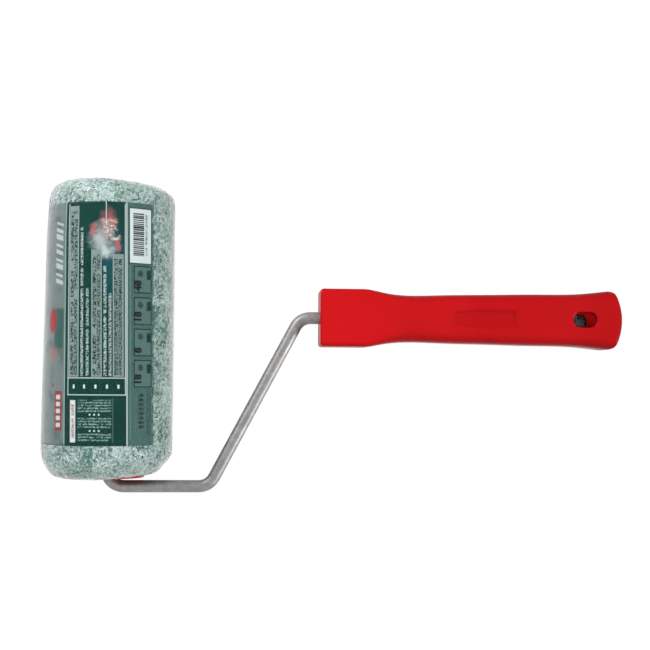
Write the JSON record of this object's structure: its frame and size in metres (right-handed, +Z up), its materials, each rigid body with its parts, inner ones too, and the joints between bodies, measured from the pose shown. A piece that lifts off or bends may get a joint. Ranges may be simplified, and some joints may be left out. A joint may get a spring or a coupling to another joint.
{
  "type": "paint roller",
  "caption": "Long-pile paint roller sleeve in clear film on a sprung cage, with a cranked wire frame and a red moulded handle.",
  "frame": {"origin": "middle of the tool's footprint, on the surface it lies on", "axes": "+X from the roller towards the handle's butt, +Y along the roller's axis towards its free end, +Z up"},
  "size_m": [0.3788, 0.1996, 0.084],
  "materials": {
    "handle_red": "smooth moulded polypropylene, semi-gloss",
    "hub_red": "moulded polypropylene, semi-gloss",
    "zinc_wire": "zinc-plated drawn wire",
    "zinc_sheet": "zinc-plated pressed sheet",
    "spring_steel": "drawn spring wire",
    "nylon": "natural nylon",
    "core": "extruded polypropylene tube",
    "backing": "woven pile backing",
    "pile_mixed": "long synthetic pile, green and white threads",
    "label_print": "printed wrap label under the film",
    "clear_film": "clear shrink film, wrinkled at the ends"
  },
  "bodies": {
    "frame": {"handle": "handle_red", "wire_frame": "zinc_wire", "inner_washer": "zinc_sheet", "outer_washer": "zinc_sheet", "axle_retainer": "zinc_sheet"},
    "cage": {"inner_hub": "hub_red", "outer_hub": "hub_red", "inner_bush": "nylon", "outer_bush": "nylon", "cage_spider": "hub_red", "end_cap": "hub_red", "cage_rod_1": "spring_steel", "cage_rod_2": "spring_steel", "cage_rod_3": "spring_steel", "cage_rod_4": "spring_steel", "cage_rod_5": "spring_steel"},
    "sleeve": {"core_tube": "core", "pile_backing": "backing", "pile": "pile_mixed", "label": "label_print", "shrink_film": "clear_film"}
  },
  "joints": [
    {"name": "roller_spin", "type": "hinge", "parent": "frame", "child": "cage", "pos_m": [-0.14738, 0.00315, 0.042], "axis": [0, 1, 0], "continuous": true},
    {"name": "sleeve_pull", "type": "slide", "parent": "cage", "child": "sleeve", "axis": [0, 1, 0], "range_m": [0, 0.19]}
  ]
}
